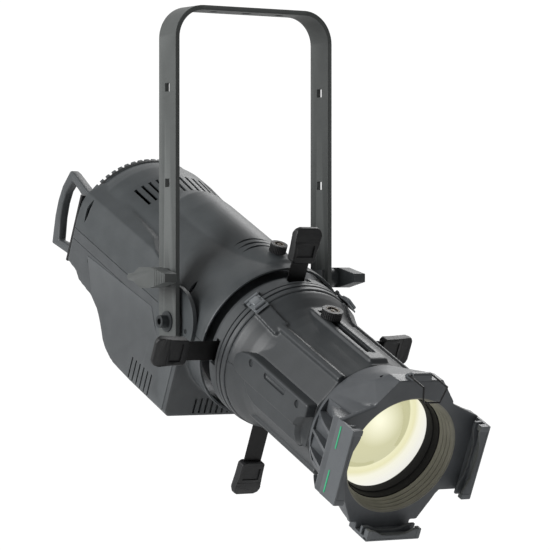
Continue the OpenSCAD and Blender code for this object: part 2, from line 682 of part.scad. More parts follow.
yoke();
pivot_bolts();
pivot_washers();
friction_washers();
brake_plates();
lock_handle_near();
lock_handle_far();
lock_stud_near();
lock_stud_far();
upper_shell();
lower_shell();
tilt_plates();
pivot_bushes();
side_screws();
rear_panel();
rear_handles();
fin_ring();
display_window();
menu_button_1();
menu_button_2();
menu_button_3();
menu_button_4();
power_sockets();
data_sockets();
safety_eye();
heat_sink();
led_engine();
collimator();
fan_frame();
fan_rotor();
power_supply();
front_bearing();
barrel_lock_knob();
gate_housing();
gate_plates();
shutter_separators();
shutter_blade_top();
shutter_blade_near();
shutter_blade_bottom();
shutter_blade_far();
shutter_grip_top();
shutter_grip_near();
shutter_grip_bottom();
shutter_grip_far();
barrel_upper();
barrel_lower();
barrel_cover_near();
barrel_cover_far();
latch_near();
latch_far();
latch_pins();
cover_screws();
lens_tube();
focus_knob();
rear_lens();
front_lens();
lens_cell();
gel_holder();
mouth_baffle();
label_strip();
gel_clip();
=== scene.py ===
"""Looks of an ellipsoidal spotlight: yoke, lamp house, shutters, barrel, lens tube and colour-frame holder.

Lamp pieces are modelled about the optical axis, along x, with the tilt pivot at zero, in
millimetres as written here; the helpers turn them to metres, and settle() hangs each one
at the pitch and pivot of the CAD joints.
"""

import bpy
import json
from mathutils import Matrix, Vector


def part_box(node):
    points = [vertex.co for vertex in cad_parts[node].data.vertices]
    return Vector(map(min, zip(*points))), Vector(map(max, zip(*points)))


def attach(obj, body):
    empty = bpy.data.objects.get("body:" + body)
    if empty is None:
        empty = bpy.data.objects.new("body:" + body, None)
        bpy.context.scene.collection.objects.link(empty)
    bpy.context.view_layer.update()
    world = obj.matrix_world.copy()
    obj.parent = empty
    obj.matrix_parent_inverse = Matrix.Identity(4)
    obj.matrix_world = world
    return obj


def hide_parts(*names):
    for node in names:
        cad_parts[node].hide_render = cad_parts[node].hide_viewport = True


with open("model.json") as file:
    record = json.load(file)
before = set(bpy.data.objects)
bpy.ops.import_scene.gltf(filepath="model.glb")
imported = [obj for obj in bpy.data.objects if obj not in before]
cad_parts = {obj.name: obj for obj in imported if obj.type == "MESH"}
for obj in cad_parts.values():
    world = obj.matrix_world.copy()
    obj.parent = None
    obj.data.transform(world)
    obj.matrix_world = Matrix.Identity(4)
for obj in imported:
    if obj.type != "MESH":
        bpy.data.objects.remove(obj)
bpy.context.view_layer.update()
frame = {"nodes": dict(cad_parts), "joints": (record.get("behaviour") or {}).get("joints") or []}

import json
import math

import bmesh
import bpy
from mathutils import Matrix, Vector

MM = 0.001
joints = {j["name"]: j for j in frame["joints"]}
pivot = Vector(joints["tilt"]["pos_m"])
axis = Vector(joints["barrel_turn"]["axis"])
pitch = math.atan2(-axis.z, axis.x)
hang = Matrix.Translation(pivot) @ Matrix.Rotation(pitch, 4, "Y")
upright = Matrix.Identity(4)


# ------------------------------------------------------------------ colours and materials

def linear(code):
    """One sRGB hex colour as linear red, green, blue and alpha."""
    channels = [int(code[i:i + 2], 16) / 255 for i in (0, 2, 4)]
    return [c / 12.92 if c <= 0.04045 else ((c + 0.055) / 1.055) ** 2.4 for c in channels] + [1.0]


def add(tree, kind, links=(), **settings):
    """Adds a node, sets its inputs by name and joins (input, socket) pairs."""
    made = tree.nodes.new(kind)
    for name, value in settings.items():
        key = name.replace("_", " ")
        if hasattr(made, name) and key not in made.inputs:
            setattr(made, name, value)
        else:
            made.inputs[key].default_value = value
    for name, socket in links:
        tree.links.new(made.inputs[name], socket)
    return made


def finish(name, base, other, rough, metal=0.0, grain=0.35, depth=0.05, blotch=25.0, coat=0.0, edge=None):
    """A solid finish: two close colours in soft patches, fine grain in the bump, worn edges if asked.

    grain is the size of the surface's texture in millimetres, and depth its height.
    """
    made = bpy.data.materials.new(name)
    made.use_nodes = True
    tree = made.node_tree
    shader = tree.nodes["Principled BSDF"]
    place = add(tree, "ShaderNodeTexCoord").outputs["Object"]
    patches = add(tree, "ShaderNodeTexNoise", [("Vector", place)], Scale=1000 / blotch, Detail=4.0)
    fine = add(tree, "ShaderNodeTexNoise", [("Vector", place)], Scale=1000 / (2 * grain), Detail=3.0)
    ramp = add(tree, "ShaderNodeValToRGB", [("Fac", patches.outputs["Fac"])])
    ramp.color_ramp.elements[0].position = 0.35
    ramp.color_ramp.elements[0].color = linear(base)
    ramp.color_ramp.elements[1].position = 0.7
    ramp.color_ramp.elements[1].color = linear(other)
    colour = ramp.outputs["Color"]
    if edge:
        point = add(tree, "ShaderNodeNewGeometry").outputs["Pointiness"]
        worn = add(tree, "ShaderNodeMapRange", [("Value", point)], From_Min=0.53, From_Max=0.62)
        mix = add(tree, "ShaderNodeMix", data_type="RGBA")
        tree.links.new(mix.inputs[0], worn.outputs["Result"])
        tree.links.new(mix.inputs[6], colour)
        mix.inputs[7].default_value = linear(edge)
        colour = mix.outputs[2]
    tree.links.new(shader.inputs["Base Color"], colour)
    shine = add(tree, "ShaderNodeMapRange", [("Value", fine.outputs["Fac"])], From_Min=0.3, From_Max=0.7,
                To_Min=max(rough - 0.06, 0.02), To_Max=min(rough + 0.08, 1.0))
    tree.links.new(shader.inputs["Roughness"], shine.outputs["Result"])
    bump = add(tree, "ShaderNodeBump", [("Height", fine.outputs["Fac"])], Strength=1.0, Distance=depth * MM)
    tree.links.new(shader.inputs["Normal"], bump.outputs["Normal"])
    shader.inputs["Metallic"].default_value = metal
    shader.inputs["Coat Weight"].default_value = coat
    return made


# Satin powder coat on the yoke: mid grey, slightly pebbled
yoke_coat = finish("yoke_powder_coat", "474a49", "4c4f4e", 0.5, grain=0.5, depth=0.05, edge="5c5f5e")
# Textured paint on the cast and moulded housing: dark blue-grey that goes lighter where it faces light
body_paint = finish("housing_textured_paint", "3c4042", "434749", 0.46, grain=0.4, depth=0.04,
                    edge="54585a")
# Same paint on the lower housing, and on the colour-frame holder, in lighter copies where they catch more
# light: painted light, not a different paint
lower_paint_lit = finish("lower_paint_painted_light", "424547", "494c4e", 0.44, grain=0.4, depth=0.04, edge="5b5f61")
holder_paint_lit = finish("holder_paint_painted_light", "484b4e", "505356", 0.42, grain=0.4, depth=0.04,
                      edge="65696c")
# Same paint in a darker copy on the gate and barrel: painted shade
barrel_paint_shaded = finish("barrel_paint_painted_shade", "343739", "3a3d3f", 0.45, grain=0.4, depth=0.04,
                      edge="505355")
# Glass-filled nylon: nearly black, matt, with a faint sheen
black_nylon = finish("black_nylon", "101112", "17181a", 0.5, grain=0.6, depth=0.03)
# Heat-blackened shutter steel
black_steel = finish("blackened_steel", "0b0b0c", "121213", 0.38, metal=0.4, grain=0.8, depth=0.01)
# Zinc-plated small steel
plated_steel = finish("plated_steel", "8f9193", "a3a5a6", 0.32, metal=1.0, grain=0.3, depth=0.01)
# Dark phosphated bolts at the pivot
dark_steel = finish("phosphated_steel", "3c3f41", "484b4d", 0.42, metal=0.7, grain=0.3, depth=0.02)
# Turned steel let into the knobs: warm grey and satin
turned_steel = finish("turned_steel", "5d554c", "6a6258", 0.45, metal=0.7, grain=0.3, depth=0.01)
# Bead-blasted aluminium of the barrel catches
blasted_metal = finish("blasted_aluminium", "73777a", "7f8386", 0.38, metal=0.35, grain=0.25, depth=0.03)
# Extruded and machined aluminium inside
bare_aluminium = finish("machined_aluminium", "b5b7b9", "c2c4c6", 0.3, metal=1.0, grain=0.3, depth=0.01)
# Turned bronze of the bushes
bronze = finish("turned_bronze", "8a6a3a", "96743f", 0.35, metal=1.0, grain=0.2, depth=0.01)
# Friction ring: matt black fibre
fibre = finish("friction_fibre", "141414", "1c1c1c", 0.85, grain=0.5, depth=0.06)
# Ribbed mouth behind the colour frame: warm grey paint lit by the lamp
mouth_paint = finish("mouth_warm_paint", "7b796e", "87857a", 0.55, grain=0.35, depth=0.03)
# Flocked black of the ring beside the lens, which swallows stray light
flock = finish("black_flock", "050505", "090909", 0.95, grain=0.6, depth=0.04)
# Black anodised aluminium of the lens tube
anodised = finish("black_anodised", "1b1c1d", "222324", 0.36, metal=0.3, grain=0.3, depth=0.02)
# Printed green of the beam-angle mark
green_print = finish("green_print", "2fa372", "35ab79", 0.4, grain=0.3, depth=0.01)
# Tinted window of the display
tinted_window = finish("tinted_window", "0c1216", "101a20", 0.12, grain=1.0, depth=0.0, coat=0.6)
# Soft-touch keys
grey_key = finish("key_rubber", "3f4244", "474a4c", 0.6, grain=0.4, depth=0.03)
# Blue insulator of the mains sockets
blue_nylon = finish("socket_blue_nylon", "24406b", "2a4877", 0.45, grain=0.5, depth=0.02)
# LED phosphor board
phosphor = finish("led_phosphor", "d8c24a", "e6d35c", 0.4, grain=0.4, depth=0.01)


def lit_glass(name, power, spot, middle, reach):
    """Lens glass lit from behind: cream disc, hot spot, sharp arc at its edge, near white outside."""
    made = bpy.data.materials.new(name)
    made.use_nodes = True
    tree = made.node_tree
    shader = tree.nodes["Principled BSDF"]
    place = add(tree, "ShaderNodeTexCoord").outputs["Object"]
    wave = add(tree, "ShaderNodeTexNoise", [("Vector", place)], Scale=18.0, Detail=1.0)
    away = []
    for point in (middle, spot):
        distance = add(tree, "ShaderNodeVectorMath", [("Vector", place)], operation="DISTANCE")
        distance.inputs[1].default_value = tuple(hang @ (Vector(point) * MM))
        away.append(distance.outputs["Value"])
    zone = add(tree, "ShaderNodeMapRange", [("Value", away[0])], From_Min=0.0, From_Max=2 * reach * MM)
    bands = add(tree, "ShaderNodeValToRGB", [("Fac", zone.outputs["Result"])])
    stops = bands.color_ramp.elements
    stops[0].color = linear("d8d5aa")
    stops[1].color = linear("fffef4")
    for position, colour in ((0.49, "c9c79e"), (0.5, "f4f1ca"), (0.56, "f0ecc2"), (0.63, "fffdea"),
                             (0.78, "fffef6")):
        stops.new(position).color = linear(colour)
    heat = add(tree, "ShaderNodeMapRange", [("Value", away[1])], From_Min=0.004, From_Max=0.034, To_Min=1.0,
               To_Max=0.0)
    mix = add(tree, "ShaderNodeMix", [], data_type="RGBA")
    tree.links.new(mix.inputs[0], heat.outputs["Result"])
    tree.links.new(mix.inputs[6], bands.outputs["Color"])
    mix.inputs[7].default_value = linear("fffde0")
    tree.links.new(shader.inputs["Emission Color"], mix.outputs[2])
    shader.inputs["Emission Strength"].default_value = power
    shader.inputs["Base Color"].default_value = (0.03, 0.03, 0.02, 1)
    gloss = add(tree, "ShaderNodeMapRange", [("Value", wave.outputs["Fac"])], To_Min=0.03, To_Max=0.08)
    tree.links.new(shader.inputs["Roughness"], gloss.outputs["Result"])
    shader.inputs["Coat Weight"].default_value = 1.0
    return made


# ------------------------------------------------------------------ modelling helpers

def let_go():
    """Leaves edit mode and deselects every object."""
    if bpy.context.object and bpy.context.object.mode != "OBJECT":
        bpy.ops.object.mode_set(mode="OBJECT")
    bpy.ops.object.select_all(action="DESELECT")


def take(piece):
    """Makes one piece the only selected and the active one."""
    let_go()
    piece.select_set(True)
    bpy.context.view_layer.objects.active = piece
    return piece


def edit(piece, everything=True):
    take(piece)
    bpy.ops.object.mode_set(mode="EDIT")
    bpy.ops.mesh.select_mode(type="VERT")
    bpy.ops.mesh.select_all(action="SELECT" if everything else "DESELECT")


def choose(kind, test):
    """In edit mode, selects the faces, edges or corners whose middle (in mm) and direction pass the test."""
    bpy.ops.mesh.select_all(action="DESELECT")
    bpy.ops.mesh.select_mode(type=kind)
    mesh = bmesh.from_edit_mesh(bpy.context.edit_object.data)
    if kind == "FACE":
        found = [f for f in mesh.faces if test(f.calc_center_median() / MM, f.normal)]
    elif kind == "EDGE":
        found = [e for e in mesh.edges if test((e.verts[0].co + e.verts[1].co) / (2 * MM),
                                               e.verts[1].co - e.verts[0].co)]
    else:
        found = [v for v in mesh.verts if test(v.co / MM, v.normal)]
    for element in found:
        element.select_set(True)
    mesh.select_flush_mode()
    bmesh.update_edit_mesh(bpy.context.edit_object.data)
    return len(found)


def done(piece):
    let_go()
    return piece


def right_way_out(piece):
    """Merges doubles and turns all faces outwards."""
    edit(piece)
    bpy.ops.mesh.remove_doubles(threshold=0.00001)
    bpy.ops.mesh.normals_make_consistent(inside=False)
    return done(piece)


def turned(name, stations, around=96):
    """Turns a profile of (x, radius) stations about the optical axis; a zero radius closes an end."""
    let_go()
    x, r = stations[0]
    bpy.ops.mesh.primitive_circle_add(vertices=around, radius=max(r, 0.01) * MM, location=(x * MM, 0, 0),
                                      rotation=(0, math.pi / 2, 0))
    piece = bpy.context.active_object
    piece.name = name
    bpy.ops.object.transform_apply(location=True, rotation=True, scale=True)
    edit(piece)
    for x_next, r_next in stations[1:]:
        bpy.ops.mesh.extrude_region_move(TRANSFORM_OT_translate={"value": ((x_next - x) * MM, 0, 0)})
        k = max(r_next, 0.01) / max(r, 0.01)
        bpy.ops.transform.resize(value=(1, k, k), center_override=(x_next * MM, 0, 0))
        x, r = x_next, r_next
    return right_way_out(piece)


def slab(name, outline, low, high, along="Y"):
    """Extrudes a flat outline, given as pairs in the two other axes, from low to high."""
    let_go()
    bpy.ops.mesh.primitive_circle_add(vertices=len(outline), radius=MM, fill_type="NGON")
    piece = bpy.context.active_object
    piece.name = name
    spots = {"X": lambda a, b: (low, a, b), "Y": lambda a, b: (a, low, b), "Z": lambda a,
             b: (a, b, low)}[along]
    for corner, (a, b) in zip(piece.data.vertices, outline):
        corner.co = Vector(spots(a, b)) * MM
    edit(piece)
    way = {"X": (1, 0, 0), "Y": (0, 1, 0), "Z": (0, 0, 1)}[along]
    step = tuple((high - low) * MM * w for w in way)
    bpy.ops.mesh.extrude_region_move(TRANSFORM_OT_translate={"value": step})
    return right_way_out(piece)


def brick(name, x0, x1, y0, y1, z0, z1):
    return slab(name, [(x0, z0), (x1, z0), (x1, z1), (x0, z1)], y0, y1)


def rod(name, r, start, end, around=48):
    """A round bar from start to end, both in mm."""
    a, b = Vector(start) * MM, Vector(end) * MM
    let_go()
    bpy.ops.mesh.primitive_cylinder_add(vertices=around, radius=r * MM, depth=(b - a).length,
                                        location=(a + b) / 2,
                                        rotation=(b - a).to_track_quat("Z", "Y").to_euler())
    piece = bpy.context.active_object
    piece.name = name
    bpy.ops.object.transform_apply(location=True, rotation=True, scale=True)
    return done(piece)


def finish_with(piece, kind, **settings):
    """Adds one modifier, sets it and applies it."""
    take(piece)
    made = piece.modifiers.new(kind, kind)
    for key, value in settings.items():
        setattr(made, key, value)
    bpy.ops.object.modifier_apply(modifier=made.name)
    return piece


def soften(piece, width, segments=2, angle=30):
    """Rounds the edges, and shades smooth all but the sharp ones."""
    finish_with(piece, "BEVEL", width=width * MM, segments=segments, limit_method="ANGLE",
                angle_limit=math.radians(angle), use_clamp_overlap=True)
    smooth(piece)
    return finish_with(piece, "WEIGHTED_NORMAL", keep_sharp=True)


def smooth(piece, angle=35):
    take(piece)
    bpy.ops.object.shade_smooth_by_angle(angle=math.radians(angle))
    return done(piece)


def carve(piece, *cutters, how="DIFFERENCE"):
    """Cuts the cutters out of the piece, or joins them to it, and removes them."""
    for cutter in cutters:
        finish_with(piece, "BOOLEAN", operation=how, object=cutter, solver="EXACT")
        bpy.data.objects.remove(cutter)
    return piece


def join(name, *parts):
    """Several meshes as one object."""
    let_go()
    for part in parts:
        part.select_set(True)
    bpy.context.view_layer.objects.active = parts[0]
    if len(parts) > 1:
        bpy.ops.object.join()
    parts[0].name = name
    return done(parts[0])


def cast(name, grain, blur, *parts):
    """Melts overlapping closed shapes into one casting with soft corners."""
    piece = join(name, *parts)
    finish_with(piece, "REMESH", mode="VOXEL", voxel_size=grain * MM, use_smooth_shade=True)
    if blur:
        finish_with(piece, "SMOOTH", factor=0.5, iterations=blur)
    return piece


def copy_of(piece, name, matrix):
    """Another of the same piece, with its own mesh, moved by the matrix."""
    twin = piece.copy()
    twin.data = piece.data.copy()
    twin.name = name
    bpy.context.scene.collection.objects.link(twin)
    twin.data.transform(matrix)
    if matrix.determinant() < 0:
        twin.data.flip_normals()
    return twin


def round_axis(degrees):
    return Matrix.Rotation(math.radians(degrees), 4, "X")


flip_side = Matrix.Scale(-1, 4, (0, 1, 0))


def move(piece, matrix):
    piece.data.transform(matrix)
    if matrix.determinant() < 0:
        piece.data.flip_normals()
    return piece


def paint(piece, material):
    piece.data.materials.clear()
    piece.data.materials.append(material)


def settle(piece, body, material, replaced=(), place=hang):
    """Puts a finished piece in the yoke, on its body, with its material."""
    move(piece, place)
    paint(piece, material)
    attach(piece, body)
    if replaced:
        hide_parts(*replaced)
    return piece


# ------------------------------------------------------------------ yoke

low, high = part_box("yoke")
half_w, leg_low = high.y / MM, low.z / MM
bar_half = high.x / MM
BAR_T = 6.0
BEND_R = 42.0
# Height of the tilt locks over the pivot
LOCK_RISE = 55


def bend_bar():
    """The flat bar: grown from the foot of one leg, round both bends, to the other foot."""
    let_go()
    bpy.ops.mesh.primitive_plane_add(size=MM, location=(0, 0, leg_low * MM))
    bar = bpy.context.active_object
    bar.name = "yoke_bar"
    bpy.ops.object.transform_apply(location=True, rotation=True, scale=True)
    edit(bar)
    bpy.ops.transform.resize(value=(2 * bar_half, BAR_T, 1), center_override=(0, 0, leg_low * MM))
    bpy.ops.transform.translate(value=(0, (BAR_T / 2 - half_w) * MM, 0))
    bpy.ops.mesh.extrude_region_move(TRANSFORM_OT_translate={"value": (0, 0, (-BEND_R - leg_low) * MM)})
    for side in (-1, 1):
        bpy.ops.mesh.spin(steps=14, angle=math.pi / 2, axis=(1, 0, 0),
                          center=(0, side * (half_w - BEND_R) * MM, -BEND_R * MM))
        if side < 0:
            bpy.ops.mesh.extrude_region_move(
                TRANSFORM_OT_translate={"value": (0, 2 * (half_w - BEND_R) * MM, 0)})
    bpy.ops.mesh.extrude_region_move(TRANSFORM_OT_translate={"value": (0, 0, (leg_low + BEND_R) * MM)})
    right_way_out(bar)
    edit(bar, False)
    choose("EDGE", lambda m, d: m.z < leg_low + 0.5 and abs(d.y) > abs(d.x))
    bpy.ops.mesh.bevel(offset=9 * MM, segments=1)
    return done(bar)


bar = bend_bar()
for y in (-50, 0, 50):
    carve(bar, rod("hole", 6.5 if y == 0 else 5.5, (0, y, -12), (0, y, 6)))
for drop in (104, 224):
    for side in (-1, 1):
        carve(bar, brick("hole", -5.25, 5.25, side * half_w - 12, side * half_w + 12, -drop - 5.25,
                         -drop + 5.25))
pivot_z = pivot.z / MM
for z, r in ((0, 6.05), (LOCK_RISE, 5.05)):
    for side in (-1, 1):
        carve(bar, rod("hole", r, (0, side * half_w - 12, pivot_z + z),
                       (0, side * half_w + 12, pivot_z + z)))
soften(bar, 0.9, 3, 40)
settle(bar, "yoke_frame", yoke_coat, ["yoke"], upright)

# ------------------------------------------------------------------ tilt lock handles

hub_y = half_w + 0.4


def lock_handle():
    """A wing handle on the far side: round hub, and a bar that thins to both ends."""
    hub = rod("hub", 12, (0, hub_y, 0), (0, hub_y + 20, 0))
    wing = slab("wing", [(-48, 1), (-46, 5), (-28, 6), (-14, 13), (13, 13), (48, 5), (48, -6), (13, -13),
                         (-12, -13), (-27, -5), (-45, -3)], hub_y + 15, hub_y + 33)
    edit(wing, False)
    choose("VERT", lambda c, n: c.x < -40)
    bpy.ops.transform.resize(value=(1, 0.62, 1), center_override=(0, (hub_y + 25) * MM, 0))
    done(wing)
    carve(wing, hub, how="UNION")
    for k in range(6):
        carve(wing, brick("rib", 24 + 4 * k, 25.4 + 4 * k, hub_y + 31.6, hub_y + 36, -20, 20))
    soften(wing, 1.2, 3, 40)
    wing.name = "lock_handle"
    return wing


wing = lock_handle()
lift = Matrix.Translation(Vector((0, 0, pivot_z + LOCK_RISE)) * MM)
near_wing = copy_of(wing, "lock_wing_near", flip_side)
settle(near_wing, "lock_near", yoke_coat, ["lock_handle_near"], lift)
wing.name = "lock_wing_far"
settle(wing, "lock_far", body_paint, ["lock_handle_far"], lift)

# ------------------------------------------------------------------ lamp house

# Height of the line between the shells, the two ends of the housing and its wall
SEAM = 2.0
REAR = -288.0
RIM = 66.0
WALL = 3
# Height of the hood's middle over the optical axis
HOOD_Z = 59


def house_solid(inset):
    """The closed form of the housing, drawn in all round by inset."""
    i = inset
    run = 2 if i else 0
    body = turned("body", [(REAR - run, 0), (REAR - run, 97.5 - i), (-276, 100.5 - i), (-262, 102.5 - i),
                           (-235, 102.3 - i), (-200, 100 - i), (-170, 97.6 - i), (-142, 96.2 - i),
                           (-105, 95.6 - i), (-60, 96.2 - i), (-20, 98.2 - i), (20, 101 - i),
                           (44, 103.4 - i), (52, 104 - i), (RIM + run, 104 - i), (RIM + run, 0)], 128)
    hood = turned("hood", [(-200 + i, 0), (-200 + i, 27 - i), (-188, 41 - i), (-166, 49 - i),
                           (-130, 50.5 - i), (-20, 50 - i), (46, 48.5 - i), (54, 44 - i), (58, 30),
                           (58, 0)], 96)
    move(hood, Matrix.Translation(Vector((0, 0, HOOD_Z)) * MM))
    side = slab("side", [(REAR - run, 66 - i), (-262, 69 - i), (-126, 60 - i), (-60, 44 - i),
                         (20 - i, 20 - i), (20 - i, i - 125), (-84, i - 125), (-132 + i / 2, i - 117),
                         (-150 + i / 2, i - 110), (-160 + i, i - 103), (-176 + i, i - 85),
                         (-190 + i, i - 73), (-212, i - 63), (-250, i - 58), (-262, i - 50),
                         (REAR - run, i - 46)], -130, 130)
    section = slab("section", [(-70, 70 - i), (70, 70 - i), (96 - i, 53 - i), (102 - i, 38), (104 - i, 16),
                               (104 - i, 0), (103.5 - i, -30), (103.5 - i, -118), (97 - i, i - 125),
                               (i - 97, i - 125), (i - 103.5, -118), (i - 103.5, -30), (i - 104, 0),
                               (i - 104, 16), (i - 102, 38), (i - 96, 53 - i)], -310, 60, "X")
    carve(side, section, how="INTERSECT")
    return body, hood, side


house = cast("house", 1.9, 2, *house_solid(0))


def opened(name, low_z, high_z):
    """One moulded shell: the casting cut off above and below, opened at both ends and given its wall."""
    shell = copy_of(house, name, upright)
    edit(shell)
    for place, normal in (((REAR + 1.5, 0, 0), (-1, 0, 0)), ((RIM - 1.5, 0, 0), (1, 0, 0)),
                          ((0, 0, high_z), (0, 0, 1)), ((0, 0, low_z), (0, 0, -1))):
        bpy.ops.mesh.select_all(action="SELECT")
        bpy.ops.mesh.bisect(plane_co=tuple(c * MM for c in place), plane_no=normal, clear_outer=True)
    done(shell)
    finish_with(shell, "SOLIDIFY", thickness=WALL * MM, offset=-1, use_even_offset=False)
    return shell


def eye_cutter(x, phi, length, width, reach=(88, 112)):
    """A recess shaped like a lens, long way round the body."""
    arc = [math.cos(math.pi * k / 12) for k in range(13)]
    outline = [(x + width / 2 * (1 - c * c), length / 2 * c) for c in arc]
    outline += [(x - width / 2 * (1 - c * c), -length / 2 * c) for c in arc[1:-1]]
    return move(slab("eye", outline, *reach, "Z"), round_axis(phi))


upper = opened("upper_housing", SEAM + 0.5, 200)
lower = opened("lower_housing", -200, SEAM - 0.5)
bpy.data.objects.remove(house)

vents = [move(brick("vent", -229, -189, -2.2, 2.2, 80, 112), round_axis(6.2 * k)) for k in range(-6, 7)]
eyes = [eye_cutter(-266, s * 71, 34, 7) for s in (1, -1)] + [eye_cutter(-6, s * 64, 22, 7) for s in (1, -1)]
slits = [slab("slit", [(x + 7, 9), (x, -2), (x - 4.6, -12), (x - 6.6, -22), (x - 6, -34), (x - 3, -22),
                       (x - 0.6, -12), (x + 3.6, -2)], 84, 116, "Z") for x in (-13, -3, 7)]
carve(upper, join("upper_cuts", *vents, *eyes, *slits))
carve(upper, rod("bore", 3.4, (28, 0, 80), (28, 0, 130)))
vents = [brick("vent", -79 + 10.3 * k, -76.2 + 10.3 * k, s * 96, s * 112, -121, -88)
         for k in range(6) for s in (1, -1)]
vents += [brick("vent", 12, 30, 8.6 * k - 1.5, 8.6 * k + 1.5, -121, -100) for k in range(-7, 8)]
vents += [brick("belt", -284, -84, min(s * 102.9, s * 110), max(s * 102.9, s * 110), -13.2, -12.4)
          for s in (1, -1)]
panels = []
for s in (-1, 1):
    outline = [(-240, -18), (-64, -9), (-47, -28), (-30, -42), (-10, -50), (13, -50), (13, -118),
               (-84, -118), (-130, -110), (-150, -103), (-188, -68), (-207, -61)]
    panel = soften(slab("side_panel", outline, s * 102, s * 104.7), 1.1, 2, 30)
    slots = [copy_of(v, "panel_cut", upright) for v in vents[:12]
             if (v.data.vertices[0].co.y > 0) == (s > 0)]
    panels.append(carve(panel, join("panel_cuts", *slots)))
carve(lower, join("lower_cuts", *vents))
for shell in (upper, lower):
    carve(shell, rod("bore", 9.2, (0, -120, 0), (0, -80, 0)), rod("bore", 9.2, (0, 80, 0), (0, 120, 0)))
    smooth(shell, 40)
lower = join("lower_housing", lower, *panels)
settle(upper, "lamp_house", body_paint, ["upper_shell"])
settle(lower, "lamp_house", lower_paint_lit, ["lower_shell"])

plates = []
for s in (-1, 1):
    plate = rod("tilt_plate", 45.5, (0, s * 103, 0), (0, s * 108.5, 0), 96)
    carve(plate, rod("bore", 6.05, (0, s * 100, 0), (0, s * 112, 0)))
    for turn in (0, 90, 180, 270):
        a = math.radians(turn)
        x, z = 30 * math.cos(a), 30 * math.sin(a)
        carve(plate, rod("well", 3.2, (x, s * 106, z), (x, s * 112, z), 24))
    plates.append(soften(plate, 0.8, 2, 40))
settle(smooth(join("tilt_discs", *plates)), "lamp_house", body_paint, ["tilt_plates"])

# ------------------------------------------------------------------ rear handles and cooling teeth


def rear_handle():
    """A loop handle on the far side: flat outline with a finger gap, thick rounded bar."""
    loop = slab("handle", [(-292, 49), (-292, 30), (-292, -26), (-292, -46), (-355.6, -52), (-363, -14),
                           (-364, 8), (-361, 30), (-350, 57), (-340, 57)], 78.5, 91.5)
    gap = slab("gap", [(-285, 33), (-285, -31), (-341, -41), (-349, -12), (-351, 8), (-349, 26), (-339, 45),
                       (-334, 45)], 70, 100)
    carve(loop, gap)
    return soften(loop, 2.4, 3, 25)


loop = rear_handle()
handles = join("rear_grab_handles", loop, copy_of(loop, "twin", flip_side))
settle(smooth(handles), "lamp_house", lower_paint_lit, ["rear_handles"])

teeth = turned("cooling_teeth", [(-301, 86), (-301, 95), (-299, 97.5), (-288, 99), (-286.5, 97),
                                 (-286.5, 86), (-301, 86)], 128)
carve(teeth, brick("cut", -320, -270, -150, 150, -150, 52))
notches = [move(brick("notch", -303, -290, -2.4, 2.4, 90.5, 104), round_axis(6 * (k + 0.5)))
           for k in range(-9, 9)]
carve(teeth, join("notches", *notches))
settle(soften(teeth, 0.7, 2, 35), "lamp_house", body_paint, ["fin_ring"])

# ------------------------------------------------------------------ gate housing

flange = turned("gate_flange", [
    (13, 82), (13, 93), (17.5, 93), (17.5, 88), (71, 88), (71, 93.4), (71.6, 94), (79, 94), (79, 97.2),
    (79.8, 98), (95, 98), (95.6, 97.4), (95.6, 96.4), (97, 96.4), (97, 97.4), (97.6, 98), (103, 98),
    (103.6, 97.4), (103.6, 96), (105, 96), (105, 96.8), (105.6, 97.2), (111, 96.6), (112, 95.6), (112, 92),
    (76, 92), (76, 82), (13, 82)], 128)
for turn in (0, 90, 180, 270):
    carve(flange, move(brick("window", 78.8, 91.7, -17, 17, 86, 104), round_axis(turn)))
# Where the two catches stand round the gate, and the pin that each one turns on
CATCH_TURNS = (42, -42)
EYE_X, EYE_Z = 92.0, 100.7
lugs = [move(soften(brick("lug", EYE_X - 2.5, EYE_X + 2.5, s * 11.65 - 1.25, s * 11.65 + 1.25, 95,
                          EYE_Z + 2.5), 0.5, 2), round_axis(turn)) for s in (-1, 1) for turn in CATCH_TURNS]
flange = join("gate_flange", smooth(flange, 30), *lugs)
settle(flange, "barrel", barrel_paint_shaded, ["gate_housing"])

# ------------------------------------------------------------------ shutters

# First blade's place along the axis, the step to the next, and the grip's foot with the shutter right out
BLADE_X, BLADE_STEP, GRIP_Z = 80.4, 3.3, 157


def shutter_grip(i, pushed_in):
    """A ribbed grip on the end of shutter i, drawn on top of the gate."""
    x = BLADE_X + BLADE_STEP * i
    z = GRIP_Z - pushed_in
    grip = slab("grip", [(-13, 0), (-17, 3), (-17.5, 20), (-19, 38), (-18, 44), (-13, 47), (13, 47),
                         (18, 44), (19, 38), (17.5, 20), (17, 3), (13, 0)], x - 6.5, x + 6.5, "X")
    move(grip, Matrix.Translation((0, 0, z * MM)))
    edit(grip, False)
    choose("VERT", lambda c, n: c.z > z + 42)
    bpy.ops.transform.resize(value=(0.5, 1, 1), center_override=(x * MM, 0, 0))
    done(grip)
    soften(grip, 1.6, 3, 30)
    cuts = []
    for s in (-1, 1):
        near, far = sorted((x + s * 4.6, x + s * 9))
        cuts.append(brick("recess", near, far, -12, 12, z + 9, z + 25))
        near, far = sorted((x + s * 5.1, x + s * 9))
        cuts += [brick("rib", near, far, -22, 22, z + 28.4 + 4.2 * k, z + 30.2 + 4.2 * k) for k in range(3)]
    carve(grip, join("cuts", *cuts))
    carve(grip, brick("slot", x - 0.45, x + 0.45, -13.1, 13.1, z - 1, z + 20.1))
    return smooth(grip, 35)


for i, (name, pushed_in) in enumerate((("top", 38), ("near", 19), ("bottom", 1), ("far", 7))):
    grip = shutter_grip(i, pushed_in)
    grip.name = "shutter_handle_" + name
    settle(grip, "shutter_" + name, black_nylon, ["shutter_grip_" + name],
           hang @ round_axis(90 * i))

# ------------------------------------------------------------------ barrel


